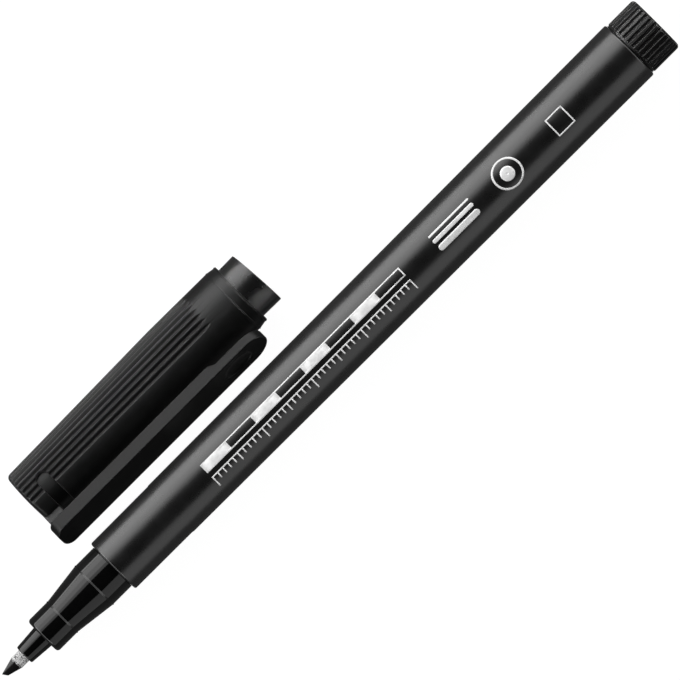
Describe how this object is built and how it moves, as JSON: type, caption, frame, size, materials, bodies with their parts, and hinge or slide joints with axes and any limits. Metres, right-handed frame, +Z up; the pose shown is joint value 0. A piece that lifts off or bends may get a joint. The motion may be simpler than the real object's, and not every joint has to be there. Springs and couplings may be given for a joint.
{
  "type": "permanent marker",
  "caption": "Slim round permanent marker with a stepped front section, fibre nib and ribbed end plug, lying beside its ribbed cap with a pocket clip.",
  "frame": {"origin": "on the ground under the middle of the pen and cap's common bounding box", "axes": "+X along the pen from the nib to the end plug, +Y from the pen to the cap, +Z up"},
  "size_m": [0.132, 0.0252, 0.0124],
  "materials": {
    "barrel_plastic": "black moulded plastic with a satin sheen",
    "section_plastic": "glossy black moulded plastic",
    "nib_fibre": "bonded fibre rod, soaked black at the writing tip",
    "wadding": "ink-soaked fibre wadding",
    "clear_film": "thin pale plastic film",
    "cap_plastic": "fine-textured matt black moulded plastic"
  },
  "bodies": {
    "pen": {"barrel": "barrel_plastic", "front_section": "section_plastic", "nib_holder": "section_plastic", "nib": "nib_fibre", "ink_reservoir": "wadding", "reservoir_wrap": "clear_film", "end_plug": "cap_plastic"},
    "cap": {"cap_shell": "cap_plastic", "inner_cap": "barrel_plastic"},
    "clip": {"cap_clip": "cap_plastic"}
  },
  "joints": [
    {"name": "cap_pull", "type": "slide", "parent": "pen", "child": "cap", "axis": [-1, 0, 0], "range_m": [0, 0.07]},
    {"name": "clip_flex", "type": "hinge", "parent": "cap", "child": "clip", "pos_m": [-0.04455, 0.00186, 0.00871], "axis": [0.0132, -0.5736, -0.819], "range_deg": [0, 3.5], "stiffness_Nm_per_rad": 2}
  ]
}
